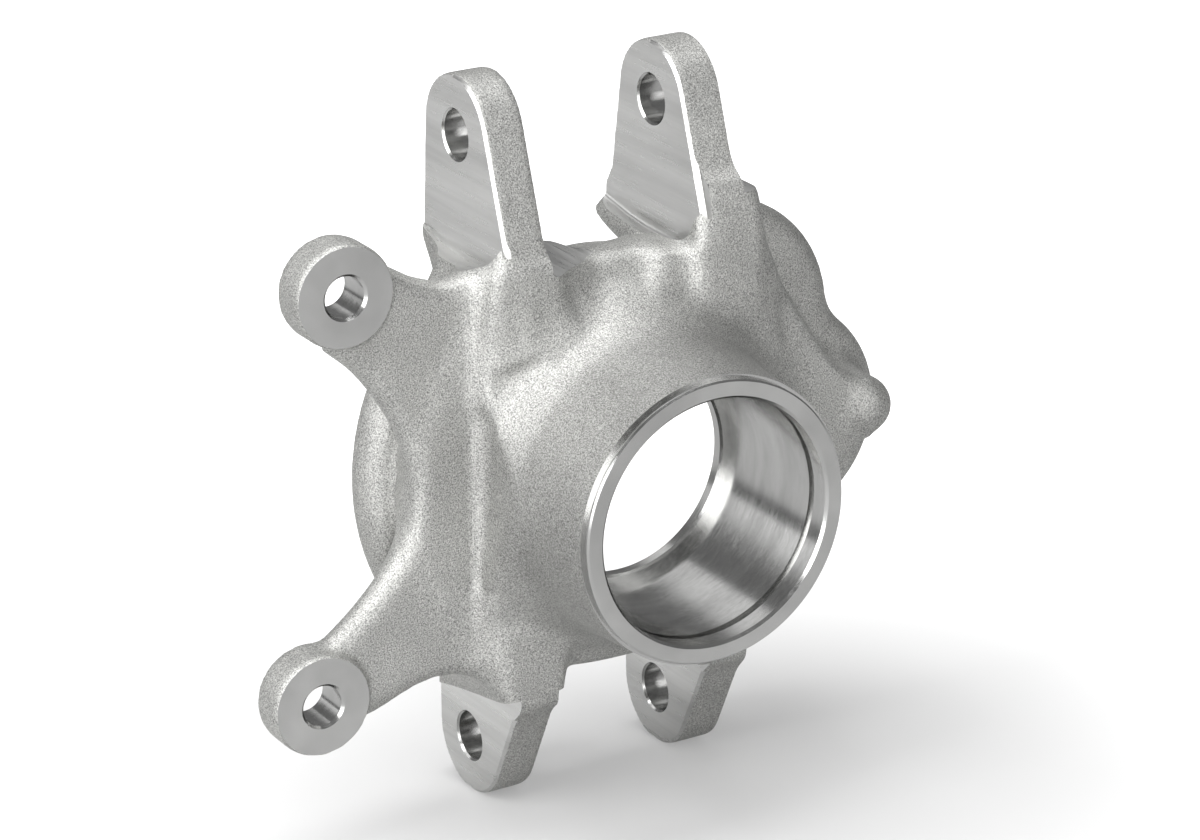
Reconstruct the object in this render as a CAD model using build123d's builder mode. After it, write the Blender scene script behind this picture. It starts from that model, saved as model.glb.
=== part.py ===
# Left-hand steering knuckle: one aluminium casting, machined at its fits.
# Millimetres. X is the wheel axis, outboard positive. Z is up and -Y is the caliper side.
# The origin is on the wheel axis, in the middle of the bearing seat. The forms are drawn with
# their depths from the snout's front face, and the finished part is moved to the origin.
import os

from build123d import *

os.makedirs("parts", exist_ok=True)

# Wheel bearing seat, bored into the snout from the front
bearing_diameter = 74.0
bearing_width = 42.0
circlip_width = 2.6
circlip_depth = 1.6
mouth_length = 6.4
mouth_chamfer = 0.7
lip_thickness = 3.4
lip_height = 3.5

# Snout and hull, round about the wheel axis
snout_wall = 5.5
turned_land = 2.4
cast_step = 0.8
neck_length = 30.0
neck_draft = 2.6
hull_front = 45.5
hull_radius = 65.0
hull_back = 84.0
shoulder_length = 11.0
crest_inset = 68.0
crest_fall = 4.5
back_chamfer = 2.0
cavity_throat_radius = 44.0
cavity_floor_wall = 3.5
cavity_flare = 8.0
hull_flat_y = 46.0
hull_flat_fillet = 5.0

# Suspension arm clevises, one pair of ears above and one below
ear_axis_inset = 77.5
upper_bolt_height = 101.0
lower_bolt_drop = 87.0
ear_hole_diameter = 14.6
ear_radius = 17.8
ear_gap = 52.4
ear_thickness = 12.8
ear_foot_front = 47.5
foot_step = 1.0
near_foot_back = 98.0
far_foot_back = 104.0
lower_foot_back = 95.0
column_rise = 22.0
foot_overlap = 2.0
ear_edge_chamfer = 0.8
hole_chamfer = 0.6

# Milled faces of the clevises: round outside the near upper ear, straight-edged outside the others
spot_face_radius = 38.0
far_face_edge = 78.5
lower_face_front = (-40, -62.5)
lower_face_back = (-102, -77.5)
pocket_radius = 43.5
pocket_width = 4.5
lower_floor_step = 4.0

# Saddle between the upper ears, raised and milled level beside the near one
saddle_front = 50.5
saddle_lead = 3.0
saddle_lead_drop = 8.0
saddle_level_end = 71.0
saddle_width = 15.7

# Cast roots that stand proud of the ears' milled outer faces
near_overhang = 1.5
near_root_back = 80.0
far_root_back = 92.0
far_overhang = 3.0
far_root_y = 51.0
root_step = 2.0
root_flare_height = 11.0
root_end_z = 30.0
root_round = 14.0
root_edge_fillet = 3.0
heel_inset = 101.5
heel_drop = 5.5
heel_radius = 4.3
heel_start = 20.0

# Brake caliper bracket
caliper_face_inset = 50.0
caliper_hole_diameter = 12.2
caliper_boss_radius = 15.4
caliper_boss_length = 13.0
upper_boss_y = -89.5
upper_boss_z = 69.5
lower_boss_y = -101.0
lower_boss_z = -51.6
bracket_setback = 3.0
bracket_thickness = 10.0
bracket_shoulder_y = 19.0
bracket_waist = (-53.5, 0)
bracket_waist_round = 34.0
bracket_foot = (-62, -54)
bracket_foot_drop = 8.0
boss_inset = 1.0
boss_flank = 3.0
bracket_edge_chamfer = 3.0
boss_back_chamfer = 2.0

# Steering arm, with its rounded tip boss, on the side away from the caliper
arm_setback = 6.5
arm_thickness = 18.0
tip_y = 86.0
tip_z = 1.0
tip_radius = 9.0
tip_front = 46.0
arm_edge_fillet = 5.0
arm_root_rise = 5.0
arm_root_drop = 5.0
arm_root_reach = 5.0
arm_top_bend = (66, 29)
arm_bottom_bend = (53, -45)
tip_back_setback = 4.0
tie_pad_height = 2.0
tie_pad_rim = 1.0
tie_hole_diameter = 10.2
tie_hole_depth = 24.0

# Back wall of the hull: a round rim toward the caliper, two lobes toward the steering arm
rim_front = 70.0
rim_radius = 75.0
upper_lobe_y = 46.0
upper_lobe_z = 27.5
upper_lobe_radius = 39.5
lower_lobe_y = 67.5
lower_lobe_z = -5.5
lower_lobe_radius = 35.8
wall_chamfer = 3.5

# Values worked out from the driving sizes
bore_radius = bearing_diameter / 2
lip_radius = bore_radius - lip_height
snout_radius = bore_radius + snout_wall
seat_depth = bearing_width + circlip_width + mouth_length
lip_back = seat_depth + lip_thickness
outer_face = ear_gap / 2 + ear_thickness
ear_middle = (ear_gap + ear_thickness) / 2
neck_radius = snout_radius + cast_step
lower_floor = hull_radius - lower_floor_step
cavity_mouth_radius = lower_floor - cavity_floor_wall
ear_foot_height = hull_radius + foot_step
root_top = hull_radius - root_step
root_foot_z = root_top - root_flare_height
heel_z = hull_radius - heel_drop
arm_root_top = hull_radius + arm_root_rise
arm_root_inner = hull_radius - arm_root_drop
seat_middle = mouth_length + circlip_width + bearing_width / 2
bracket_front = caliper_face_inset + bracket_setback
bracket_back = bracket_front + bracket_thickness
arm_front = hull_front + arm_setback

# Round hull: snout, neck and flared shoulder
with BuildPart() as hull:
    with BuildSketch(Plane.XZ):
        with BuildLine():
            l1 = Polyline(
                (0, 0),
                (0, snout_radius),
                (-turned_land, snout_radius),
                (-turned_land, neck_radius),
                (-neck_length, neck_radius + neck_draft),
            )
            l2 = TangentArc(l1 @ 1, (-hull_front, hull_radius - shoulder_length), tangent=l1 % 1)
            l3 = Line(l2 @ 1, (-hull_front - shoulder_length, hull_radius))
            l4 = Polyline(
                l3 @ 1,
                (-crest_inset, hull_radius),
                (-hull_back + back_chamfer, hull_radius - crest_fall),
                (-hull_back, hull_radius - crest_fall - back_chamfer),
                (-hull_back, 0),
                (0, 0),
            )
        make_face()
    revolve(axis=Axis.X)

# Back wall: rim and lobes in one outline, with its edges broken
with BuildPart() as wall:
    with BuildSketch(Plane.YZ.offset(-hull_back)):
        Circle(rim_radius)
        with Locations((upper_lobe_y, upper_lobe_z)):
            Circle(upper_lobe_radius)
        with Locations((lower_lobe_y, lower_lobe_z)):
            Circle(lower_lobe_radius)
    extrude(amount=hull_back - rim_front)
    chamfer(wall.faces().sort_by(Axis.X)[-1].edges(), wall_chamfer)
    chamfer(wall.faces().sort_by(Axis.X)[0].edges(), wall_chamfer)
    # Between the ears the hull alone closes the back
    with Locations((-hull_back, 0, 0)):
        Box(4 * hull_back, ear_gap + ear_thickness, 4 * hull_radius, mode=Mode.SUBTRACT)

# Saddle: a level pad beside the near upper ear that falls with the hull's top toward the back
with BuildPart() as saddle:
    with BuildSketch(Plane.XZ.offset(ear_gap / 2)):
        with BuildLine():
            Polyline(
                (-saddle_front + saddle_lead, root_end_z),
                (-saddle_front + saddle_lead, hull_radius - saddle_lead_drop),
                (-saddle_front, hull_radius),
                (-saddle_level_end, hull_radius),
                (-hull_back + back_chamfer, hull_radius - crest_fall),
                (-hull_back + back_chamfer, root_end_z),
                close=True,
            )
        make_face()
    extrude(amount=-saddle_width)

# Ears: a tapered outline above and one below on each side, joined by a column
with BuildPart() as ears:
    for side, cast_thickness, upper_back in (
        (ear_gap / 2, ear_thickness + near_overhang, near_foot_back),
        (-outer_face - far_overhang, ear_thickness + far_overhang, far_foot_back),
    ):
        for bolt_z, foot_z, foot_back in (
            (upper_bolt_height, ear_foot_height, upper_back),
            (-lower_bolt_drop, -ear_foot_height, lower_foot_back),
        ):
            with BuildSketch(Plane.XZ.offset(side)):
                with Locations((-ear_axis_inset, bolt_z)):
                    Circle(ear_radius)
                with Locations((-(ear_foot_front + foot_back) / 2, foot_z)):
                    Rectangle(foot_back - ear_foot_front, 2 * foot_overlap)
                make_hull()
            extrude(amount=cast_thickness)
        with BuildSketch(Plane.XZ.offset(side)):
            with BuildLine():
                Polyline(
                    (-ear_foot_front, ear_foot_height),
                    (-upper_back, ear_foot_height),
                    (-hull_back, ear_foot_height - column_rise),
                    (-hull_back, column_rise - ear_foot_height),
                    (-lower_foot_back, -ear_foot_height),
                    (-ear_foot_front, -ear_foot_height),
                    close=True,
                )
            make_face()
        extrude(amount=cast_thickness)
    # The outer faces are milled down to the near ear's round edge and to straight edges on the others
    with BuildSketch(Plane.XZ.offset(outer_face)):
        with Locations((-ear_axis_inset, upper_bolt_height)):
            Circle(spot_face_radius)
    extrude(amount=near_overhang, mode=Mode.SUBTRACT)
    with BuildSketch(Plane.XZ.offset(-outer_face)):
        with Locations((-ear_axis_inset, far_face_edge + upper_bolt_height)):
            Rectangle(4 * ear_radius, 2 * upper_bolt_height)
    extrude(amount=-far_overhang, mode=Mode.SUBTRACT)
    for side, overhang in ((outer_face, near_overhang), (-outer_face, -far_overhang)):
        with BuildSketch(Plane.XZ.offset(side)):
            with BuildLine():
                Polyline(
                    lower_face_front,
                    lower_face_back,
                    (lower_face_back[0], -2 * lower_bolt_drop),
                    (lower_face_front[0], -2 * lower_bolt_drop),
                    close=True,
                )
            make_face()
        extrude(amount=overhang, mode=Mode.SUBTRACT)
    ear_arcs = ears.edges().filter_by(GeomType.CIRCLE)
    chamfer(ear_arcs.filter_by(lambda e: abs(e.radius - ear_radius) < 0.01), ear_edge_chamfer)

# Ear roots: the casting flares from the milled outer faces into the hull
with BuildPart() as roots:
    for side, upward, top, foot_y, overhang, back in (
        (-1, 1, root_top, hull_flat_y, near_overhang, near_root_back),
        (-1, -1, root_top, hull_flat_y, near_overhang, near_root_back),
        (1, 1, far_face_edge, far_root_y, far_overhang, far_root_back),
        (1, -1, root_top, far_root_y, far_overhang, near_root_back),
    ):
        with BuildSketch(Plane.YZ.offset(-back)):
            with BuildLine():
                Polyline(
                    (side * ear_gap / 2, upward * top),
                    (side * (outer_face + overhang), upward * top),
                    (side * foot_y, upward * root_foot_z),
                    (side * foot_y, upward * root_end_z),
                    (side * ear_gap / 2, upward * root_end_z),
                    close=True,
                )
            make_face()
        extrude(amount=back - ear_foot_front)
    foot_edges = roots.edges().filter_by(Axis.X)
    fillet(foot_edges.filter_by(lambda e: abs(abs(e.center().Z) - root_foot_z) < 0.01), root_round)
    front_edges = roots.faces().filter_by(Plane.YZ).group_by(Axis.X)[-1].edges()
    fillet(front_edges.filter_by(lambda e: abs(e.center().Y) > outer_face), root_edge_fillet)

# Heel: the far upper ear's foot ends inboard in a rounded nose below the milled floor
with BuildPart() as heel:
    with BuildSketch(Plane.XZ.offset(-outer_face)):
        with Locations((-heel_inset, heel_z)):
            Circle(heel_radius)
        with Locations((-hull_back, heel_z)):
            Circle(heel_radius)
        make_hull()
    extrude(amount=outer_face - heel_start)
    chamfer(heel.faces().sort_by(Axis.Y)[0].edges(), heel_radius / 3)

# Caliper bracket: a waisted plate between two round bosses
with BuildPart() as bracket:
    with BuildSketch(Plane.YZ.offset(-bracket_back)):
        with BuildLine():
            l1 = Line((-outer_face, root_foot_z), (-outer_face - bracket_shoulder_y, ear_foot_height))
            l2 = Line(l1 @ 1, (upper_boss_y, upper_boss_z + caliper_boss_radius - boss_inset))
            l3 = Line(l2 @ 1, (upper_boss_y, upper_boss_z - caliper_boss_radius - boss_flank))
            lower_boss_top = (lower_boss_y, lower_boss_z + caliper_boss_radius - boss_inset)
            l4 = Polyline(l3 @ 1, bracket_waist, lower_boss_top)
            lower_boss_side = (lower_boss_y + caliper_boss_radius / 2, lower_boss_z - caliper_boss_radius / 2)
            l5 = Line(l4 @ 1, lower_boss_side)
            l6 = Line(l5 @ 1, bracket_foot)
            l7 = Line(l6 @ 1, (-outer_face, -root_foot_z - bracket_foot_drop))
            l8 = Line(l7 @ 1, l1 @ 0)
        make_face()
    extrude(amount=bracket_thickness)
    waist_corner = bracket.edges().filter_by(Axis.X).sort_by_distance((-bracket_back, *bracket_waist))[0]
    fillet(waist_corner, bracket_waist_round)
    waist_edges = bracket.edges().filter_by(Axis.X, reverse=True).filter_by(
        lambda e: e.center().Y < -outer_face - 1
        and lower_boss_z + caliper_boss_radius < e.center().Z < upper_boss_z - caliper_boss_radius
    )
    chamfer(waist_edges, bracket_edge_chamfer)

# Caliper bosses, chamfered at the back, with faces that stand proud of the bracket
with BuildPart() as bosses:
    with BuildSketch(Plane.YZ.offset(-caliper_face_inset)):
        with Locations((upper_boss_y, upper_boss_z), (lower_boss_y, lower_boss_z)):
            Circle(caliper_boss_radius)
    extrude(amount=-caliper_boss_length)
    chamfer(bosses.edges().filter_by(GeomType.CIRCLE).group_by(Axis.X)[0], boss_back_chamfer)

# Steering arm: a web that sweeps down from the ear root to the rounded tip boss
with BuildPart() as arm:
    with BuildSketch(Plane.YZ.offset(-arm_front - arm_thickness)):
        with BuildLine():
            l1 = Line((ear_middle, arm_root_inner), (outer_face + arm_root_reach, arm_root_top))
            l2 = Line(l1 @ 1, arm_top_bend)
            l3 = TangentArc(l2 @ 1, (tip_y, tip_z + tip_radius), tangent=l2 % 1)
            l4 = ThreePointArc(l3 @ 1, (tip_y + tip_radius, tip_z), (tip_y, tip_z - tip_radius))
            l5 = Line((outer_face + arm_root_reach, -arm_root_top), arm_bottom_bend)
            l6 = TangentArc(l5 @ 1, l4 @ 1, tangent=l5 % 1)
            l7 = Polyline(l5 @ 0, (ear_middle, -arm_root_inner), l1 @ 0)
        make_face()
    extrude(amount=arm_thickness)
    web_edges = arm.faces().sort_by(Axis.X)[-1].edges().filter_by(
        lambda e: outer_face + arm_root_reach < e.center().Y < tip_y
    )
    fillet(web_edges, arm_edge_fillet)
with BuildPart() as tip:
    with Locations((-tip_front - tip_radius, tip_y, tip_z)):
        Sphere(tip_radius)
    with BuildSketch(Plane.YZ.offset(-tip_front - tip_radius)):
        with Locations((tip_y, tip_z)):
            Circle(tip_radius)
    extrude(amount=tip_front + tip_radius - hull_back + tip_back_setback)
    with BuildSketch(Plane.YZ.offset(-hull_back - tie_pad_height)):
        with Locations((tip_y, tip_z)):
            Circle(tip_radius + tie_pad_rim)
    extrude(amount=tie_pad_height + tip_back_setback)

# One casting out of the forms
with BuildPart() as casting:
    add(hull.part)
    add(wall.part)
    add(arm.part)
    # The caliper side of the hull is cut flat in front of the bracket and filleted into it
    with Locations((-bracket_front / 2, -hull_flat_y - hull_radius, 0)):
        Box(bracket_front, 2 * hull_radius, 4 * hull_radius, mode=Mode.SUBTRACT)
    add(bracket.part)
    flat_edges = casting.edges().filter_by(Axis.Z).filter_by(
        lambda e: abs(e.center().X + bracket_front) < 0.01 and abs(e.center().Y + hull_flat_y) < 0.01
    )
    fillet(flat_edges, hull_flat_fillet)
    add(tip.part)
    add(saddle.part)
    add(ears.part)
    add(roots.part)
    add(heel.part)
    add(bosses.part)

    # Hollow behind the lip, open toward the axle
    with BuildSketch(Plane.XZ):
        with BuildLine():
            Polyline(
                (-lip_back, 0),
                (-lip_back, cavity_throat_radius),
                (-hull_back, cavity_mouth_radius),
                (-far_foot_back - 1, cavity_mouth_radius + cavity_flare),
                (-far_foot_back - 1, 0),
                close=True,
            )
        make_face()
    revolve(axis=Axis.X, mode=Mode.SUBTRACT)

    # The lower clevis gap is milled level, and the upper one round about the far ear's bolt
    with BuildSketch(Plane.XY.offset(-lower_floor)):
        with Locations((-ear_axis_inset, 0)):
            Rectangle(4 * ear_radius, ear_gap)
    extrude(amount=-upper_bolt_height, mode=Mode.SUBTRACT)
    with BuildSketch(Plane.XZ.offset(-ear_gap / 2)):
        with Locations((-ear_axis_inset, upper_bolt_height)):
            Circle(pocket_radius)
    extrude(amount=pocket_width, mode=Mode.SUBTRACT)

    # Bearing seat, circlip groove, mouth and lip
    with BuildSketch(Plane.XZ):
        with BuildLine():
            Polyline(
                (1, 0),
                (1, bore_radius + mouth_chamfer),
                (0, bore_radius + mouth_chamfer),
                (-mouth_chamfer, bore_radius),
                (-mouth_length, bore_radius),
                (-mouth_length, bore_radius + circlip_depth),
                (-mouth_length - circlip_width, bore_radius + circlip_depth),
                (-mouth_length - circlip_width, bore_radius),
                (-seat_depth, bore_radius),
                (-seat_depth, lip_radius),
                (-lip_back - 1, lip_radius),
                (-lip_back - 1, 0),
                close=True,
            )
        make_face()
    revolve(axis=Axis.X, mode=Mode.SUBTRACT)

    # Bolt holes of the clevises and of the caliper
    for bolt_z in (upper_bolt_height, -lower_bolt_drop):
        with Locations(Plane.XZ.offset(-outer_face)):
            with Locations((-ear_axis_inset, bolt_z)):
                Hole(ear_hole_diameter / 2, depth=2 * outer_face)
    with Locations(Plane.YZ.offset(-caliper_face_inset)):
        with Locations((upper_boss_y, upper_boss_z), (lower_boss_y, lower_boss_z)):
            Hole(caliper_hole_diameter / 2, depth=caliper_boss_length + bracket_thickness)
    ear_rims = casting.edges().filter_by(GeomType.CIRCLE).filter_by(
        lambda e: abs(e.radius - ear_hole_diameter / 2) < 0.01
    )
    chamfer(ear_rims, hole_chamfer)
    boss_rims = casting.edges().filter_by(GeomType.CIRCLE).filter_by(
        lambda e: abs(e.center().X + caliper_face_inset) < 0.01 and abs(e.center().Y) > outer_face
    )
    chamfer(boss_rims, hole_chamfer)

    # Blind tapped hole for the tie rod's bracket, from the inboard side
    with Locations(Plane.YZ.offset(-hull_back - tie_pad_height)):
        with Locations((tip_y, tip_z, tie_hole_depth / 2)):
            Cylinder(tie_hole_diameter / 2, tie_hole_depth, mode=Mode.SUBTRACT)

# The finished part, moved so that the origin is in the middle of the bearing seat
with BuildPart() as knuckle:
    with Locations((seat_middle, 0, 0)):
        add(casting.part)

knuckle.part.label = "knuckle"
export_step(knuckle.part, "parts/knuckle.step")
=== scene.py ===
import math

import bmesh
import bpy
import numpy as np
from mathutils import Matrix


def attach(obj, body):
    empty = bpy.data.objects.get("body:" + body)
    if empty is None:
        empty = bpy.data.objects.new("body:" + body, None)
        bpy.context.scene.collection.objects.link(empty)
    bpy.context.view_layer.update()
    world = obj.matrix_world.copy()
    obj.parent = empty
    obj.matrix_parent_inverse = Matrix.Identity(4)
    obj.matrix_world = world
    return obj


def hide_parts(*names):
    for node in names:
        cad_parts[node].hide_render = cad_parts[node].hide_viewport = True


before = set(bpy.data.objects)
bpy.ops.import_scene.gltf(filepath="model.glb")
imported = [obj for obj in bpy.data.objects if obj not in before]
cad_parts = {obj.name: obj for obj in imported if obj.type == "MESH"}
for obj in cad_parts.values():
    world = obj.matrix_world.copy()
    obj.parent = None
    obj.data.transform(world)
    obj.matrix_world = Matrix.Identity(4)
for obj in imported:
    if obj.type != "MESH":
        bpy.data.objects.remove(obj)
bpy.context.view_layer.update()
print("frame loaded")

# The casting is worked out in millimetres, with depths measured inboard from the snout's front face,
# and moved so that the origin is in the middle of the bearing seat
seatMiddle = 30.0

gridSizes = {
    "step": 1.25,  # one cell of the casting's surface
    "quickStep": 2.4,
    "low": (-113, -120, -108),
    "high": (4, 108, 122),
}
gridStep = gridSizes["step"]
axisX, axisY, axisZ = (
    np.arange(low, high + gridStep, gridStep, dtype=np.float32)
    for low, high in zip(gridSizes["low"], gridSizes["high"])
)
gridX = axisX[:, None, None]
gridY = axisY[None, :, None]
gridZ = axisZ[None, None, :]
wheelRadius = np.hypot(gridY, gridZ)
# Outlines are drawn as seen along the wheel axis or from the caliper's side
planeY, planeZ = axisY[:, None], axisZ[None, :]
sideX, sideZ = axisX[:, None], axisZ[None, :]


# Tools for cast forms: each form is its signed distance on the grid, negative inside


def blend(a, b, reach):
    # Two forms in one with a cast fillet: the smaller distance, less a parabola where they differ by
    # under the reach
    share = np.clip(0.5 + 0.5 * (b - a) / reach, 0, 1)
    return b + (a - b) * share - reach * share * (1 - share)


def trim(a, b, reach):
    # What a and b share, with the edge between them rounded over the reach
    return -blend(-a, -b, reach)


def slab(low, high, across):
    # Between two parallel faces: how far a point is from the middle, less half the thickness
    return np.abs(across - (low + high) / 2) - (high - low) / 2


def outlineDistance(u, v, outline):
    # Distance to the nearest side of a closed outline, negative where a ray crosses an odd number of sides
    start = np.asarray(outline, dtype=np.float32)
    side = np.roll(start, -1, axis=0) - start
    u, v = np.broadcast_arrays(u, v)
    du = u[..., None] - start[:, 0]
    dv = v[..., None] - start[:, 1]
    along = np.clip((du * side[:, 0] + dv * side[:, 1]) / (side**2).sum(axis=1), 0, 1)
    nearest = np.hypot(du - along * side[:, 0], dv - along * side[:, 1]).min(axis=-1)
    end = start + side
    spans = (start[:, 1] > v[..., None]) != (end[:, 1] > v[..., None])
    rise = np.where(np.abs(side[:, 1]) < 1e-6, 1e-6, side[:, 1])
    crossings = (spans & (du < dv * side[:, 0] / rise)).sum(axis=-1)
    return np.where(crossings % 2 == 1, -nearest, nearest).astype(np.float32)


def curveThrough(points, steps):
    # Catmull-Rom curve: each span is the cubic through its two ends with slopes from the points on
    # either side, in as many steps
    p = np.asarray(points, dtype=np.float32)
    p = np.vstack([2 * p[0] - p[1], p, 2 * p[-1] - p[-2]])
    t = np.linspace(0, 1, steps, endpoint=False, dtype=np.float32)[None, :, None]
    a, b, c, d = (p[i : len(p) - 3 + i, None, :] for i in range(4))
    square = (2 * a - 5 * b + 4 * c - d) * t**2
    cube = (3 * b - 3 * c + d - a) * t**3
    curve = 0.5 * (2 * b + (c - a) * t + square + cube)
    return np.vstack([curve.reshape(-1, 2), p[-2]])


def arcPoints(centre, radius, startAngle, endAngle, count):
    # Points at equal angles, in degrees, on a circle round the centre
    angle = np.radians(np.linspace(startAngle, endAngle, count))
    return np.stack([centre[0] + radius * np.cos(angle), centre[1] + radius * np.sin(angle)], axis=-1)


# The fine axis on which profiles are rounded
profileAxis = {"from": -130, "to": 20, "step": 0.25, "bellSteps": 40}


def profileRadius(points, soften):
    # Radius along the wheel axis: straight runs between the points, averaged with a bell curve so that
    # the corners round
    fineStep, bellSteps = profileAxis["step"], profileAxis["bellSteps"]
    fine = np.arange(profileAxis["from"], profileAxis["to"], fineStep)
    depth, radius = np.array(points, dtype=float).T
    bell = np.exp(-0.5 * (np.arange(-bellSteps, bellSteps + 1) * fineStep / soften) ** 2)
    soft = np.convolve(np.interp(fine, depth, radius), bell / bell.sum(), mode="same")
    return np.interp(axisX, fine, soft).astype(np.float32)[:, None, None]


def fallingTop(form):
    # Level in front, and falling toward the back from where the level ends
    return form["top"] + form["fall"] * np.minimum(gridX - form["levelEnd"], 0)


# Snout, neck and hull

hullForm = {
    # depth and radius, from the back to the mouth of the snout
    "profile": (
        (-120, 50.5), (-84, 59.0), (-63, 64.4), (-57, 64.4), (-46.5, 54.6),
        (-41, 50.2), (-33, 46.4), (-24, 45.0), (-2, 43.4), (15, 43.4),
    ),
    "soften": 1.4,
    "front": 2,  # cast with some stock in front of the turned face
    "back": -84,
    "backRound": 5,
    "bottom": -61,
    "bottomRound": 5,
    "flatY": -46,  # the caliper side is flat in front of the bracket
    "flatDepth": -57,
    "flatRound": 2,
}
hullRadius = profileRadius(hullForm["profile"], hullForm["soften"])
slope = np.gradient(hullRadius, gridStep, axis=0)
hull = (wheelRadius - hullRadius) / np.sqrt(1 + slope**2)

# Crest over the flare, with its top as a radius
crestForm = {
    "top": 64.4,
    "fall": 0.3,
    "levelEnd": -63,
    "front": -53.5,
    "frontRound": 6,
    "foot": 45,
    "blend": 3,
}
crest = trim(wheelRadius - fallingTop(crestForm), gridX - crestForm["front"], crestForm["frontRound"])
crest = np.maximum(crest, crestForm["foot"] - gridZ)
hull = blend(hull, crest, crestForm["blend"])

# Pad beside the near ear, which the cutter levels
padForm = {
    "plan": (
        (-82, -12), (-73, -11), (-61, -11.5), (-54.5, -13),
        (-50.8, -17), (-48.4, -21.5), (-47.6, -34), (-82, -34),
    ),
    "top": 66.6,
    "fall": 0.5,
    "levelEnd": -71,
    "foot": 45,
    "draft": 0.15,
    "blend": 8,
}
padPlan = outlineDistance(axisX[:, None], axisY[None, :], padForm["plan"])[:, :, None]
padTop = fallingTop(padForm)
pad = (padPlan - padForm["draft"] * (padTop - gridZ)) / math.hypot(1, padForm["draft"])
pad = np.maximum(np.maximum(pad, gridZ - padTop), padForm["foot"] - gridZ)
hull = blend(hull, pad, padForm["blend"])

# Gusset that carries the far upper ear's front into the crest
gussetForm = {
    "nearY": 12,
    "farY": 30,
    "top": 62.8,
    "foot": 46,
    "front": -49,
    "back": -66,
    "edgeRound": 4,
    "blend": 8,
}
gussetSides = slab(gussetForm["nearY"], gussetForm["farY"], gridY)
gusset = trim(gridZ - gussetForm["top"], gussetSides, gussetForm["edgeRound"])
gusset = trim(gusset, gridX - gussetForm["front"], gussetForm["edgeRound"])
gusset = np.maximum(gusset, np.maximum(gussetForm["foot"] - gridZ, gussetForm["back"] - gridX))
hull = blend(hull, gusset, gussetForm["blend"])

# Web between the lower ears, under the snout
webForm = {"halfWidth": 30, "radius": 63, "front": -49.5, "top": -44, "edgeRound": 5, "blend": 4}
web = trim(wheelRadius - webForm["radius"], gridX - webForm["front"], webForm["edgeRound"])
web = np.maximum(np.maximum(web, gridZ - webForm["top"]), np.abs(gridY) - webForm["halfWidth"])
hull = blend(hull, web, webForm["blend"])

hull = trim(hull, hullForm["back"] - gridX, hullForm["backRound"])
hull = trim(hull, hullForm["bottom"] - gridZ, hullForm["bottomRound"])
hull = np.maximum(hull, gridX - hullForm["front"])

# Flank: the hull's side toward the caliper, kept for the crease beside the bracket's fillet
flankForm = {
    "y": -46.4,
    "lean": 0.055,
    "leanTop": 10,
    "leanReach": 50,
    "edgeRound": 1,
    "back": -51,
}
flankDrop = np.clip(gridZ - flankForm["leanTop"], -flankForm["leanReach"], 0)
flankY = flankForm["y"] + flankForm["lean"] * flankDrop
flank = trim(hull, flankY - gridY, flankForm["edgeRound"])
flatCut = np.minimum(hullForm["flatY"] - gridY, gridX - hullForm["flatDepth"])
hull = trim(hull, flatCut, hullForm["flatRound"])
print("hull formed")

# Back wall: a rim toward the caliper and two lobes toward the steering arm

wallForm = {
    "rimRadius": 75,
    # middle and radius of each lobe
    "lobes": ((46, 27.5, 39.6), (67.5, -5.5, 35.7)),
    "lobeBlend": 7,
    "front": -69.5,
    "edgeRound": 8,
    "gapHalf": 32,  # the clevises are left free
    "gapRound": 4,
    "blend": 5,
}
wallPlan = np.hypot(planeY, planeZ) - wallForm["rimRadius"]
for lobeY, lobeZ, lobeRadius in wallForm["lobes"]:
    lobe = np.hypot(planeY - lobeY, planeZ - lobeZ) - lobeRadius
    wallPlan = blend(wallPlan, lobe, wallForm["lobeBlend"])
wallPlan = trim(wallPlan, wallForm["gapHalf"] - np.abs(planeY), wallForm["gapRound"])
wall = trim(wallPlan[None], slab(hullForm["back"], wallForm["front"], gridX), wallForm["edgeRound"])
body = blend(hull, wall, wallForm["blend"])

# Steering arm with its rounded tip

armForm = {
    "top": ((30, 76), (43, 76), (46, 66), (49.5, 57), (56, 46), (66, 29.5), (75, 17), (86, 10)),
    "bottom": ((86, -8), (72, -19.5), (60, -32), (53, -45), (44, -66), (30, -64)),
    "front": -50,
    "back": -70,
    "steps": 10,
    "edgeRound": 4,
    "blend": 8,
}
armEdges = [curveThrough(armForm[edge], armForm["steps"]) for edge in ("top", "bottom")]
armOutline = np.vstack(armEdges)
armPlan = outlineDistance(planeY, planeZ, armOutline)
arm = trim(armPlan[None], slab(armForm["back"], armForm["front"], gridX), armForm["edgeRound"])
body = blend(body, arm, armForm["blend"])

tipForm = {
    "place": (86, 1),
    "radius": 9,
    "front": -46,
    "back": -74,
    "blend": 4,
    "padRadius": 10,
    "padFront": -69.4,
    "padBack": -86.6,
    "padRound": 2,
    "padBlend": 3,
}
tipY, tipZ = tipForm["place"]
tipRange = np.hypot(gridY - tipY, gridZ - tipZ)
tipAlong = gridX - np.clip(gridX, tipForm["back"], tipForm["front"] - tipForm["radius"])
body = blend(body, np.hypot(tipAlong, tipRange) - tipForm["radius"], tipForm["blend"])
tiePadSlab = slab(tipForm["padBack"], tipForm["padFront"], gridX)
tiePad = trim(tipRange - tipForm["padRadius"], tiePadSlab, tipForm["padRound"])
body = blend(body, tiePad, tipForm["padBlend"])
print("back wall and steering arm formed")

# Clevis ears, cast with some stock over the faces that are milled

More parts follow.
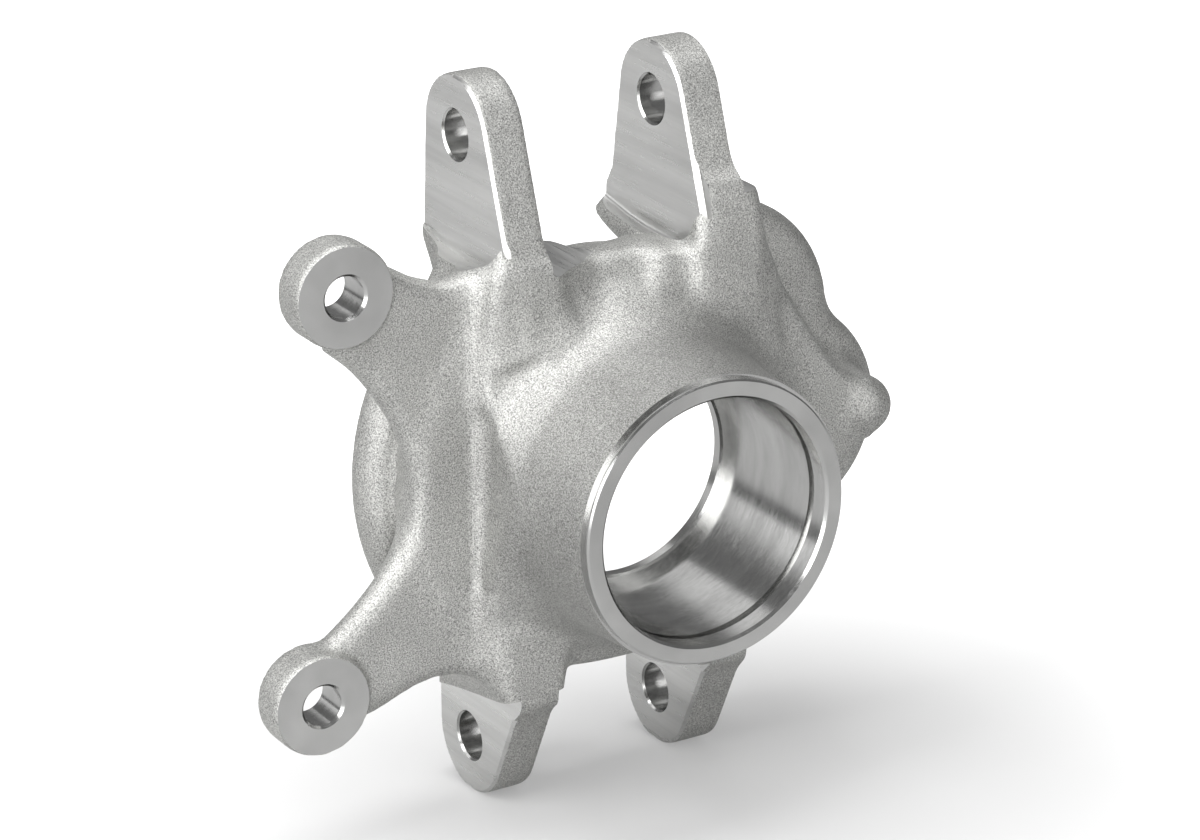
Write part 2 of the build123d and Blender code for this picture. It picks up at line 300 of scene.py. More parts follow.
earForm = {
    "depth": -77.5,
    "upperZ": 101,
    "lowerZ": -87,
    "radius": 17.8,
    "gapHalf": 26.2,
    "thickness": 12.8,
    "innerStock": 1.5,
    "nearStock": 1.5,
    "farStock": 3.0,
    "footZ": 67,
    "footFront": -47.5,
    "nearFootBack": -98,
    "farFootBack": -104,
    "lowerFootBack": -95,
    "footDrop": 2,
    "footEndZ": 44,  # inside the hull
    "headPoints": 40,
    "heel": ((-100.1, 75), (-103, 70.3), (-104.6, 67.5)),
    "edgeRound": 3.4,
    "rootBlend": 8,
}
innerY = earForm["gapHalf"]
outerY = innerY + earForm["thickness"]

# Ear roots: the casting flares from the milled outer faces of the ears into the hull
rootForm = {
    "endZ": 30,
    "blend": 5,
    # side, up, back, edge round, and the outline from the top down
    "roots": (
        (-1, 1, -80, 2.5, ((43, 66), (44.6, 60), (46, 48), (46.4, 36))),
        (-1, -1, -80, 3.5, ((41.5, 65), (43.5, 58), (46, 50))),
        (1, 1, -92, 5, ((42.4, 82), (43.4, 74), (51, 52))),
        (1, -1, -80, 5, ((42, 65), (43, 57), (50, 52))),
    ),
}
nearRoots = []
for side, up, back, edgeRound, flare in rootForm["roots"]:
    top, footY = flare[0][1], flare[-1][0]
    rootOutline = [(innerY, top), *flare, (footY, rootForm["endZ"]), (innerY, rootForm["endZ"])]
    rootPlan = outlineDistance(planeY, planeZ, np.array(rootOutline) * (side, up))
    root = trim(rootPlan[None], slab(back, earForm["footFront"], gridX), edgeRound)
    body = blend(body, root, rootForm["blend"])
    if side < 0:
        nearRoots.append(root)

# Caliper bracket: a waisted plate between two round bosses

bracketForm = {
    "edge": ((-38, 66), (-48, 66.5), (-57, 66), (-65, 69), (-89.5, 84)),
    "waist": (
        (-93, 52), (-84, 43.5), (-75, 30.5), (-68.5, 17), (-66.5, 6),
        (-68.5, -5), (-75.5, -17), (-86, -28), (-99, -38),
    ),
    "foot": ((-99, -62), (-84, -61), (-62, -54.5), (-38, -60)),
    "front": -53,
    "back": -63.5,
    "waistSteps": 6,
    "footSteps": 4,
    "edgeRound": 6,
    "filletReach": 10,
}
waist = curveThrough(bracketForm["waist"], bracketForm["waistSteps"])
foot = curveThrough(bracketForm["foot"], bracketForm["footSteps"])
bracketOutline = np.vstack([bracketForm["edge"], waist, foot])
bracketPlan = outlineDistance(planeY, planeZ, bracketOutline)
bracketSlab = slab(bracketForm["back"], bracketForm["front"], gridX)
bracket = trim(bracketPlan[None], bracketSlab, bracketForm["edgeRound"])
body = blend(body, bracket, bracketForm["filletReach"])
flank = np.minimum(flank, np.minimum(*nearRoots))
body = np.minimum(body, np.maximum(flank, flankForm["back"] - gridX))

bossForm = {
    "upper": (-89.5, 69.5),
    "lower": (-101, -51.6),
    "radius": 15.4,
    "front": -49,
    "back": -63,
    "edgeRound": 3,
    "blend": 1.5,
}
for bossY, bossZ in (bossForm["upper"], bossForm["lower"]):
    bossRange = np.hypot(gridY - bossY, gridZ - bossZ) - bossForm["radius"]
    boss = trim(bossRange, slab(bossForm["back"], bossForm["front"], gridX), bossForm["edgeRound"])
    body = blend(body, boss, bossForm["blend"])
print("caliper bracket formed")


def tangentAngle(footX, boltZ, up, turn):
    # Where a line from the foot touches the round head: the direction from the bolt to the foot, turned
    # by the angle whose cosine is the radius over that distance
    run, rise = footX - earForm["depth"], earForm["footZ"] * up - boltZ
    toFoot = math.degrees(math.atan2(rise, run))
    return toFoot + turn * math.degrees(math.acos(earForm["radius"] / math.hypot(run, rise)))


def earOutline(boltZ, footBack, up, heel=()):
    # The round head, tangent lines down to the foot, and the foot carried on into the hull; a heel
    # flares the back foot
    startAngle = tangentAngle(earForm["footFront"], boltZ, up, up)
    endAngle = tangentAngle(footBack, boltZ, up, -up)
    endAngle = startAngle + up * (up * (endAngle - startAngle) % 360)
    middle = (earForm["depth"], boltZ)
    head = arcPoints(middle, earForm["radius"], startAngle, endAngle, earForm["headPoints"])
    footZ = earForm["footZ"] * up
    dropZ = footZ - earForm["footDrop"] * up
    endZ = earForm["footEndZ"] * up
    foot = [*heel, (footBack, footZ), (footBack, dropZ), (hullForm["back"], endZ)]
    foot += [(earForm["footFront"], endZ), (earForm["footFront"], footZ)]
    return np.vstack([head, foot])


for side, footBack, outerStock, heel in (
    (-1, earForm["nearFootBack"], earForm["nearStock"], ()),
    (1, earForm["farFootBack"], earForm["farStock"], earForm["heel"]),
):
    upperPlan = outlineDistance(sideX, sideZ, earOutline(earForm["upperZ"], footBack, 1, heel))
    lowerOutline = earOutline(earForm["lowerZ"], earForm["lowerFootBack"], -1)
    lowerPlan = outlineDistance(sideX, sideZ, lowerOutline)
    earPlan = np.minimum(upperPlan, lowerPlan)[:, None, :]
    earSlab = slab(innerY - earForm["innerStock"], outerY + outerStock, side * gridY)
    body = blend(body, trim(earPlan, earSlab, earForm["edgeRound"]), earForm["rootBlend"])

# Heel of the far upper ear: a rounded nose that runs along the wheel axis
heelForm = {
    "back": -100.8,
    "front": -80,
    "nearY": 24.4,
    "farY": 36,
    "z": 59,
    "radius": 4.4,
    "blend": 4,
}
heelX = gridX - np.clip(gridX, heelForm["back"], heelForm["front"])
heelY = gridY - np.clip(gridY, heelForm["nearY"], heelForm["farY"])
heel = np.sqrt(heelX**2 + heelY**2 + (gridZ - heelForm["z"]) ** 2) - heelForm["radius"]
body = blend(body, heel, heelForm["blend"])
print("ears formed")

# Hollow behind the lip, open toward the axle

hollowForm = {
    "outside": (-109, 66.5),  # depth and radius behind the casting
    "mouth": 57.5,
    "throat": 44,
    "front": -54.8,
    "soften": 1.2,
    "frontRound": 5,
    "edgeRound": 2.5,
}
hollowProfile = (
    hollowForm["outside"],
    (hullForm["back"], hollowForm["mouth"]),
    (hollowForm["front"], hollowForm["throat"]),
    (0, hollowForm["throat"]),
)
hollowRadius = profileRadius(hollowProfile, hollowForm["soften"])
hollow = trim(wheelRadius - hollowRadius, gridX - hollowForm["front"], hollowForm["frontRound"])
body = trim(body, -hollow, hollowForm["edgeRound"])


def surfaceOf(field, name):
    # Surface nets: one vertex in each cell that the zero level crosses, at the mean of the crossings of
    # its twelve edges, and one four-sided face round each grid edge whose ends have different signs
    inside = field < 0
    corners = np.array(list(np.ndindex(2, 2, 2)))
    countX, countY, countZ = np.array(field.shape) - 1
    filled = sum(
        inside[i : countX + i, j : countY + j, k : countZ + k].astype(np.int8) for i, j, k in corners
    )
    cells = np.argwhere((filled > 0) & (filled < 8))
    at = cells[:, None, :] + corners[None]
    values = field[at[..., 0], at[..., 1], at[..., 2]]
    total = np.zeros((len(cells), 3))
    count = np.zeros((len(cells), 1))
    pairs = [(a, b) for a in range(8) for b in range(a + 1, 8)]
    for a, b in pairs:
        if np.abs(corners[a] - corners[b]).sum() != 1:
            continue
        crosses = ((values[:, a] < 0) != (values[:, b] < 0))[:, None]
        difference = np.where(crosses[:, 0], values[:, a] - values[:, b], 1)
        share = (values[:, a] / difference)[:, None]
        total += np.where(crosses, corners[a] + share * (corners[b] - corners[a]), 0)
        count += crosses
    spots = (cells + total / count) * gridStep + np.array(gridSizes["low"])
    number = np.full(filled.shape, -1, dtype=np.int64)
    number[tuple(cells.T)] = np.arange(len(cells))
    quads = []
    for axis in range(3):
        one, two = (axis + 1) % 3, (axis + 2) % 3
        first = np.take(inside, range(inside.shape[axis] - 1), axis)
        second = np.take(inside, range(1, inside.shape[axis]), axis)
        edges = np.argwhere(first != second)
        edges = edges[(edges[:, one] > 0) & (edges[:, two] > 0)]
        outward = first[tuple(edges.T)]
        ring = []
        for shiftOne, shiftTwo in ((1, 1), (0, 1), (0, 0), (1, 0)):
            cell = edges.copy()
            cell[:, one] -= shiftOne
            cell[:, two] -= shiftTwo
            ring.append(number[tuple(cell.T)])
        ring = np.stack(ring, axis=-1)
        quads.append(np.where(outward[:, None], ring, ring[:, ::-1]))
    return meshFrom(name, spots, np.vstack(quads).tolist())


def meshFrom(name, spots, faces):
    # Millimetres from the snout's face become metres from the origin
    mesh = bpy.data.meshes.new(name)
    metres = (np.asarray(spots) + (seatMiddle, 0, 0)) / 1000
    mesh.from_pydata(metres.tolist(), [], faces)
    mesh.validate()
    return mesh


def addPiece(name, data):
    piece = bpy.data.objects.new(name, data)
    bpy.context.scene.collection.objects.link(piece)
    return piece


casting = addPiece("steeringKnuckle", surfaceOf(body, "steeringKnuckle"))
print("casting surface", len(casting.data.polygons), "faces")


# Finishes: the blasted skin of the casting, and the milled and turned metal


blueShare = 0.985  # a little less blue, for a slightly warm grey


def greyMix(low, high):
    return (low, low, low * blueShare, 1), (high, high, high * blueShare, 1)


def nodeGroup(name, inputs, outputs):
    # An empty group with its named sockets, and its two ends
    group = bpy.data.node_groups.new(name, "ShaderNodeTree")
    for label, kind, value in inputs:
        made = group.interface.new_socket(name=label, in_out="INPUT", socket_type=kind)
        if value is not None:
            made.default_value = value
    for label, kind in outputs:
        group.interface.new_socket(name=label, in_out="OUTPUT", socket_type=kind)
    return group, group.nodes.new("NodeGroupInput"), group.nodes.new("NodeGroupOutput")


def addNoise(group, source, detail, roughness):
    # Noise on the group's coordinates; what sets its scale is linked by the caller
    noise = group.nodes.new("ShaderNodeTexNoise")
    noise.inputs["Detail"].default_value = detail
    noise.inputs["Roughness"].default_value = roughness
    group.links.new(source, noise.inputs["Vector"])
    return noise


grainForm = {
    # detail and roughness of each noise
    "fine": (3.0, 0.62),
    "coarse": (1.0, 0.5),
    "patches": (4.0, 0.55),
    "coarseScale": 0.37,  # beside the fine pits
    "coarseHeight": 0.6,
}


def makeCastGrain(form):
    # Blasted skin: fine pits and coarse ones are added up, with a mask of slow darker patches
    group, given, result = nodeGroup(
        "castGrain",
        (
            ("Vector", "NodeSocketVector", None),
            ("Grain Scale", "NodeSocketFloat", 1500.0),
            ("Patch Scale", "NodeSocketFloat", 45.0),
        ),
        (("Height", "NodeSocketFloat"), ("Patches", "NodeSocketFloat"), ("Speckle", "NodeSocketFloat")),
    )
    nodes, links = group.nodes, group.links
    fine = addNoise(group, given.outputs["Vector"], *form["fine"])
    links.new(given.outputs["Grain Scale"], fine.inputs["Scale"])
    coarseScale = nodes.new("ShaderNodeMath")
    coarseScale.operation = "MULTIPLY"
    coarseScale.inputs[1].default_value = form["coarseScale"]
    links.new(given.outputs["Grain Scale"], coarseScale.inputs[0])
    coarse = addNoise(group, given.outputs["Vector"], *form["coarse"])
    links.new(coarseScale.outputs[0], coarse.inputs["Scale"])
    height = nodes.new("ShaderNodeMath")
    height.operation = "MULTIPLY_ADD"
    height.inputs[1].default_value = form["coarseHeight"]
    links.new(coarse.outputs["Fac"], height.inputs[0])
    links.new(fine.outputs["Fac"], height.inputs[2])
    patches = addNoise(group, given.outputs["Vector"], *form["patches"])
    links.new(given.outputs["Patch Scale"], patches.inputs["Scale"])
    links.new(height.outputs[0], result.inputs["Height"])
    links.new(patches.outputs["Fac"], result.inputs["Patches"])
    links.new(fine.outputs["Fac"], result.inputs["Speckle"])
    return group


markForm = {
    # detail and roughness of each noise
    "lines": (4.0, 0.6),
    "smears": (3.0, 0.6),
    "lineScale": 1400.0,
    "smearScale": 120.0,
    "lineStrength": 0.35,
    "toneSpan": (0.35, 0.65),
    "glossSpan": (0.3, 0.7),
}


def makeToolMarks(form):
    # Cutter lines: noise drawn out along the lines by the stretch that the material's Mapping gives
    group, given, result = nodeGroup(
        "toolMarks",
        (
            ("Vector", "NodeSocketVector", None),
            ("Line Scale", "NodeSocketFloat", 900.0),
            ("Smear Scale", "NodeSocketFloat", 60.0),
        ),
        (("Lines", "NodeSocketFloat"), ("Smears", "NodeSocketFloat")),
    )
    for label, scale, noiseForm in (("Lines", "Line Scale", "lines"), ("Smears", "Smear Scale", "smears")):
        noise = addNoise(group, given.outputs["Vector"], *form[noiseForm])
        group.links.new(given.outputs[scale], noise.inputs["Scale"])
        group.links.new(noise.outputs["Fac"], result.inputs[label])
    return group


castGrain = makeCastGrain(grainForm)
toolMarks = makeToolMarks(markForm)


def startMaterial(name, metallic, roughness):
    # A plain material, with what is needed to build on it
    material = bpy.data.materials.new(name)
    material.use_nodes = True
    nodes = material.node_tree.nodes
    shader = nodes["Principled BSDF"]
    shader.inputs["Metallic"].default_value = metallic
    shader.inputs["Roughness"].default_value = roughness
    place = nodes.new("ShaderNodeTexCoord")
    return material, nodes, material.node_tree.links, shader, place


def rampBetween(nodes, links, source, colours, span):
    # The source's value turned into a colour, from the first at the span's start to the second at its end
    ramp = nodes.new("ShaderNodeValToRGB")
    for element, colour, position in zip(ramp.color_ramp.elements, colours, span):
        element.position = position
        element.color = colour
    links.new(source, ramp.inputs["Fac"])
    return ramp


def mapRange(nodes, links, source, start, end):
    # The source's value carried from one range to another; start and end are (from, to) pairs
    ranged = nodes.new("ShaderNodeMapRange")
    ranged.inputs["From Min"].default_value, ranged.inputs["To Min"].default_value = start
    ranged.inputs["From Max"].default_value, ranged.inputs["To Max"].default_value = end
    links.new(source, ranged.inputs["Value"])
    return ranged


castLook = {
    "dark": 0.43,
    "light": 0.52,
    "patchSpan": (0.3, 0.7),
    "speckle": (0.36, 1.46),
    "speckleSpan": (0.32, 0.68),
    "roughness": 0.57,
    "metallic": 0.88,
    "neck": ((-0.016, 1.0), (0.0, 0.8)),  # place and tone: the skin is darker toward the snout
    "grainScale": 2300.0,
    "patchScale": 38.0,
    "pitDepth": 0.0002,
    "pitStrength": 0.6,
}


def makeCastSkin(look):
    # Grey in slow patches, times a fine speckle, times a tone along the wheel axis, over fine pits
    material, nodes, links, shader, place = startMaterial("castSkin", look["metallic"], look["roughness"])
    grain = nodes.new("ShaderNodeGroup")
    grain.node_tree = castGrain
    grain.inputs["Grain Scale"].default_value = look["grainScale"]
    grain.inputs["Patch Scale"].default_value = look["patchScale"]
    links.new(place.outputs["Object"], grain.inputs["Vector"])
    patchGreys = greyMix(look["dark"], look["light"])
    patchRamp = rampBetween(nodes, links, grain.outputs["Patches"], patchGreys, look["patchSpan"])
    speckGreys = greyMix(*look["speckle"])
    speckRamp = rampBetween(nodes, links, grain.outputs["Speckle"], speckGreys, look["speckleSpan"])
    tone = nodes.new("ShaderNodeMix")
    tone.data_type = "RGBA"
    tone.blend_type = "MULTIPLY"
    tone.inputs["Factor"].default_value = 1.0
    links.new(patchRamp.outputs["Color"], tone.inputs["A"])
    links.new(speckRamp.outputs["Color"], tone.inputs["B"])
    split = nodes.new("ShaderNodeSeparateXYZ")
    links.new(place.outputs["Object"], split.inputs["Vector"])
    neck = mapRange(nodes, links, split.outputs["X"], *look["neck"])
    neck.interpolation_type = "SMOOTHSTEP"
    shade = nodes.new("ShaderNodeVectorMath")
    shade.operation = "SCALE"
    links.new(tone.outputs["Result"], shade.inputs["Vector"])
    links.new(neck.outputs["Result"], shade.inputs["Scale"])
    links.new(shade.outputs["Vector"], shader.inputs["Base Color"])
    bump = nodes.new("ShaderNodeBump")
    bump.inputs["Strength"].default_value = look["pitStrength"]
    bump.inputs["Distance"].default_value = look["pitDepth"]
    links.new(grain.outputs["Height"], bump.inputs["Height"])
    links.new(bump.outputs["Normal"], shader.inputs["Normal"])
    return material


milledLook = {
    "dark": 0.62,
    "light": 0.80,
    "roughness": (0.24, 0.42),
    "turn": (0, 38, 0),
    "stretch": (0.04, 1, 1),
    "lineDepth": 0.00003,
}
turnedLook = {
    "dark": 0.46,
    "light": 0.58,
    "roughness": (0.14, 0.26),
    "turn": (0, 0, 0),
    "stretch": (1, 0.25, 0.25),
    "lineDepth": 0.00001,
}


def makeMachined(name, look):
    # Lines run along the stretched axis of a turned copy of the piece's own coordinates
    material, nodes, links, shader, place = startMaterial(name, 1.0, look["roughness"][0])
    mapping = nodes.new("ShaderNodeMapping")
    mapping.inputs["Rotation"].default_value = [math.radians(angle) for angle in look["turn"]]
    mapping.inputs["Scale"].default_value = look["stretch"]
    links.new(place.outputs["Object"], mapping.inputs["Vector"])
    marks = nodes.new("ShaderNodeGroup")
    marks.node_tree = toolMarks
    marks.inputs["Line Scale"].default_value = markForm["lineScale"]
    marks.inputs["Smear Scale"].default_value = markForm["smearScale"]
    links.new(mapping.outputs["Vector"], marks.inputs["Vector"])
    greys = greyMix(look["dark"], look["light"])
    tone = rampBetween(nodes, links, marks.outputs["Smears"], greys, markForm["toneSpan"])
    links.new(tone.outputs["Color"], shader.inputs["Base Color"])
    start, end = zip(markForm["glossSpan"], look["roughness"])
    gloss = mapRange(nodes, links, marks.outputs["Lines"], start, end)
    links.new(gloss.outputs["Result"], shader.inputs["Roughness"])
    bump = nodes.new("ShaderNodeBump")
    bump.inputs["Strength"].default_value = markForm["lineStrength"]
    bump.inputs["Distance"].default_value = look["lineDepth"]
    links.new(marks.outputs["Lines"], bump.inputs["Height"])
    links.new(bump.outputs["Normal"], shader.inputs["Normal"])
    return material


castSkin = makeCastSkin(castLook)
milledFace = makeMachined("milledFace", milledLook)
turnedFace = makeMachined("turnedFace", turnedLook)
print("materials made")


# Machining: each tool is a closed solid that is cut out of the casting and leaves its own finish

wheelAxis, boltAxis = 0, 1  # x and y


def ringTool(name, rings):
    # Rings with as many points each, joined by flat sides and closed by a face at both ends
    layers, count = rings.shape[:2]
    number = np.arange(layers * count).reshape(layers, count)
    after = np.roll(number, -1, axis=1)
    sides = np.stack([number[:-1], after[:-1], after[1:], number[1:]], axis=-1).reshape(-1, 4)
    faces = sides.tolist() + [number[0].tolist(), number[-1].tolist()]
    mesh = meshFrom(name, rings.reshape(-1, 3), faces)
    work = bmesh.new()
    work.from_mesh(mesh)
    bmesh.ops.recalc_face_normals(work, faces=work.faces)
    work.to_mesh(mesh)
    work.free()
    return mesh


def turnedTool(name, profile, axis, centre, segments):
    # A profile of distance along the axis and radius, carried round the axis
    along, radius = np.array(profile, dtype=float).T
    angle = np.linspace(0, 2 * math.pi, segments, endpoint=False)
    rings = np.zeros((len(profile), segments, 3))
    rings[..., axis] = along[:, None]
    rings[..., (axis + 1) % 3] = radius[:, None] * np.cos(angle)
    rings[..., (axis + 2) % 3] = radius[:, None] * np.sin(angle)
    return ringTool(name, rings + np.array(centre))


def layerTool(name, layers, axis):
    # Outlines with as many points each, set at their distances along the axis
    across = [i for i in range(3) if i != axis]
    rings = np.zeros((len(layers), len(layers[0][1]), 3))
    for ring, (along, outline) in zip(rings, layers):
        ring[:, across] = np.asarray(outline, dtype=float)
        ring[:, axis] = along
    return ringTool(name, rings)


def prismTool(name, outline, axis, low, high):
    # One outline carried straight from low to high
    return layerTool(name, ((low, outline), (high, outline)), axis)


def boxOutline(lowU, lowV, highU, highV):
    # The four corners of a rectangle
    return (lowU, lowV), (highU, lowV), (highU, highV), (lowU, highV)


def cut(piece, tools, finish):
    # One exact Boolean for each tool, all applied at once
    cutters = []
    for tool in tools:
        tool.materials.append(finish)
        cutter = addPiece(tool.name, tool)
        cutters.append(cutter)
        modifier = piece.modifiers.new(tool.name, "BOOLEAN")
        modifier.operation = "DIFFERENCE"
        modifier.solver = "EXACT"
        modifier.material_mode = "TRANSFER"
        modifier.object = cutter
    solid = bpy.data.meshes.new_from_object(piece.evaluated_get(bpy.context.evaluated_depsgraph_get()))
    piece.modifiers.clear()
    piece.data = solid
    for cutter in cutters:
        bpy.data.objects.remove(cutter)


# Snout: the ring on its face, the bearing seat with the circlip's groove, and the lip
boreForm = {
    "clear": (8, 62),  # outside the casting
    "ringDepth": -2.4,
    "ringRadius": 42.5,
    "ringChamfer": 0.5,
    "mouthChamfer": 0.8,
    "seatRadius": 37.0,
    "grooveFront": -6.4,
    "grooveBack": -9.0,
    "grooveRadius": 38.6,
    "seatEnd": -51.0,
    "lipRadius": 33.5,
    "lipChamfer": 0.7,
    "end": -62,
    "segments": 192,
}
clearDepth, clearRadius = boreForm["clear"]
ringDepth, ringRadius, ringChamfer = (boreForm[key] for key in ("ringDepth", "ringRadius", "ringChamfer"))
seatRadius, mouthChamfer, seatEnd = (boreForm[key] for key in ("seatRadius", "mouthChamfer", "seatEnd"))
lipRadius, lipChamfer = boreForm["lipRadius"], boreForm["lipChamfer"]
boreProfile = (
    (clearDepth, clearRadius),
    (ringDepth, clearRadius),
    (ringDepth, ringRadius),
    (-ringChamfer, ringRadius),
    (0, ringRadius - ringChamfer),
    (0, seatRadius + mouthChamfer),
    (-mouthChamfer, seatRadius),
    (boreForm["grooveFront"], seatRadius),
    (boreForm["grooveFront"], boreForm["grooveRadius"]),
    (boreForm["grooveBack"], boreForm["grooveRadius"]),
    (boreForm["grooveBack"], seatRadius),
    (seatEnd, seatRadius),
    (seatEnd, lipRadius + lipChamfer),
    (seatEnd - lipChamfer, lipRadius),
    (boreForm["end"], lipRadius),
)
casting.data.materials.append(castSkin)
cut(casting, [turnedTool("boreTool", boreProfile, wheelAxis, (0, 0, 0), boreForm["segments"])], turnedFace)
print("bored and turned")

# Ears: milled outside and inside, where the inner cutters of the upper gap have a rounded corner
millForm = {
    # the tools' ends outside the casting
    "clear": {"front": -40, "back": -120, "lowerBack": -104, "top": 128, "bottom": -112, "side": 60},
    "nearEdge": {"centre": (-75, 125), "radius": 60, "angles": (224, 287), "points": 24},
    "nearFace": ((-57.2, 67.6), (-52.7, 69.8), (-50.7, 72.9), (-50, 76), (-44, 79)),
    "farEdge": 78.5,
    "farPocket": (
        (-116, 67), (-101.5, 64), (-90, 62), (-80, 61), (-67, 60.8),
        (-60, 61.6), (-54.6, 64), (-51.3, 67.2), (-49.4, 72), (-44, 80),
    ),
    "farPocketNearY": 21.8,
    "farPocketExit": (19.5, -2.6),  # the floor rises to here, so that no lip is left beside it
    "floorZ": 65,
    "floorFarY": -5,
    "cornerRadius": 1.4,
    "cornerPoints": 6,
    "lowerFace": ((-104, -77.9), (-85, -73), (-72, -70), (-55, -65.5), (-40, -62)),
    "lowerPocket": ((-104, -83.2), (-40, -65.5)),
    "nearLowerFloorZ": -63,
    "lowerOverlap": 1,
}
clear = millForm["clear"]
upperEnd = ((clear["front"], clear["top"]), (clear["back"], clear["top"]))
lowerEnd = ((clear["front"], clear["bottom"]), (clear["lowerBack"], clear["bottom"]))


def pocketOutline(grow):
    # The pocket's floor, sunk by what the cutter's rounded corner has grown
    return [(x, z - grow) for x, z in (*millForm["farPocket"], *upperEnd)]


def floorOutline(grow):
    # A level floor, sunk in the same way
    return boxOutline(clear["back"], millForm["floorZ"] - grow, clear["front"], clear["top"])


def cornerLayers(outline, faceY, inward, endY):
    # Outlines through a quarter circle at the cutter's corner, and on to the end
    radius = millForm["cornerRadius"]
    layers = []
    for angle in np.radians(np.linspace(0, 90, millForm["cornerPoints"])):
        along = faceY + inward * radius * (1 - math.cos(angle))
        layers.append((along, outline(radius * (math.sin(angle) - 1))))
    return [*layers, (endY, outline(0))]


edge = millForm["nearEdge"]
nearEdge = arcPoints(edge["centre"], edge["radius"], *edge["angles"], edge["points"])
nearFace = np.vstack([nearEdge, millForm["nearFace"], upperEnd])
farFace = boxOutline(clear["back"], millForm["farEdge"], clear["front"], clear["top"])
lowerFace = (*millForm["lowerFace"], *lowerEnd)
farLowerGap = (*millForm["lowerPocket"], *lowerEnd)
nearLowerGap = boxOutline(clear["lowerBack"], clear["bottom"], clear["front"], millForm["nearLowerFloorZ"])
pocketLayers = cornerLayers(pocketOutline, innerY, -1, millForm["farPocketNearY"])
exitY, exitGrow = millForm["farPocketExit"]
pocketLayers.append((exitY, pocketOutline(exitGrow)))
floorLayers = cornerLayers(floorOutline, -innerY, 1, millForm["floorFarY"])
millTools = [
    prismTool("nearUpperFace", nearFace, boltAxis, -clear["side"], -outerY),
    prismTool("farUpperFace", farFace, boltAxis, outerY, clear["side"]),
    prismTool("nearLowerFace", lowerFace, boltAxis, -clear["side"], -outerY),
    prismTool("farLowerFace", lowerFace, boltAxis, outerY, clear["side"]),
    layerTool("farInnerFace", pocketLayers, boltAxis),
    layerTool("nearInnerFace", floorLayers, boltAxis),
    prismTool("farLowerGap", farLowerGap, boltAxis, 0, innerY),
    prismTool("nearLowerGap", nearLowerGap, boltAxis, -innerY, millForm["lowerOverlap"]),
]
cut(casting, millTools, milledFace)

# Bevels: the sharp front edges of the milled faces that look toward the caliper
bevelForm = {
    "inset": 0.6,  # what the cast edge's round takes at the milled faces
    "width": 0.4,
    "reach": (-1.4, 1.0),  # of the tool, into the face and out of it
    "clear": 9,
    "start": 5,  # above the foot
    "turn": 75,  # degrees round the head
    "points": 16,
}


def frontEdge(boltZ, up, inset):
    # The ear's front side moved in by the inset, from above the foot round the head
    foot = np.array((earForm["footFront"], earForm["footZ"] * up))
    start = tangentAngle(earForm["footFront"], boltZ, up, up)
    normal = np.array((math.cos(math.radians(start)), math.sin(math.radians(start))))
    along = np.array((-normal[1], normal[0])) * up
    bottom = foot - inset * normal + bevelForm["start"] * along
    middle = (earForm["depth"], boltZ)
    endAngle = start + up * bevelForm["turn"]
    head = arcPoints(middle, earForm["radius"] - inset, start, endAngle, bevelForm["points"])
    return np.vstack([bottom, head])


def bevelTool(boltZ, up, faceY):
    # A band along the front edge, whose inner side slants through the face at 45 degrees
    layers = []
    for step in bevelForm["reach"]:
        inner = frontEdge(boltZ, up, bevelForm["inset"] + bevelForm["width"] + step)
        outer = frontEdge(boltZ, up, -bevelForm["clear"])
        layers.append((faceY - step, np.vstack([inner, outer[::-1]])))
    return layerTool("edgeBevel", layers, boltAxis)


bevelTools = [
    bevelTool(boltZ, up, faceY)
    for boltZ, up in ((earForm["upperZ"], 1), (earForm["lowerZ"], -1))
    for faceY in (-outerY, innerY)
]
cut(casting, bevelTools, milledFace)

# Holes: the clevis bolts, the caliper's bolts with their spot faces, and the tie rod's blind hole
holeForm = {
    "boltRadius": 7.3,
    "boltChamfer": 0.6,
    "boltClear": 2,
    # depth and radius, from the outside in
    "caliper": ((-42, 18), (-50, 18), (-50, 6.9), (-50.8, 6.1), (-62.5, 6.1), (-65.5, 9)),
    "tie": ((-98, 14), (-86, 14), (-86, 5.9), (-85.2, 5.1), (-63.5, 5.1), (-62, 0.4)),
    "segments": 64,
}
boltRadius, boltChamfer, boltClear = (holeForm[key] for key in ("boltRadius", "boltChamfer", "boltClear"))
flareRadius = boltRadius + boltChamfer + boltClear
holeTools = []
for boltZ in (earForm["upperZ"], earForm["lowerZ"]):
    for side in (-1, 1):
        profile = (
            (side * (outerY + boltClear), flareRadius),
            (side * (outerY - boltChamfer), boltRadius),
            (side * (innerY + boltChamfer), boltRadius),
            (side * (innerY - boltClear), flareRadius),
        )
        middle = (earForm["depth"], 0, boltZ)
        holeTools.append(turnedTool("boltHole", profile, boltAxis, middle, holeForm["segments"]))
for name, profile, place in (
    ("caliperHole", holeForm["caliper"], bossForm["upper"]),
    ("caliperHole", holeForm["caliper"], bossForm["lower"]),
    ("tieHole", holeForm["tie"], tipForm["place"]),
):
    holeTools.append(turnedTool(name, profile, wheelAxis, (0, *place), holeForm["segments"]))
cut(casting, holeTools, turnedFace)
print("milled and drilled")

sharpAngle = 34
casting.data.polygons.foreach_set("use_smooth", np.ones(len(casting.data.polygons), dtype=bool))
casting.data.set_sharp_from_angle(angle=math.radians(sharpAngle))
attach(casting, "root")
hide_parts("knuckle")
casting.data.calc_loop_triangles()
print("knuckle", len(casting.data.loop_triangles), "triangles")

# Studio

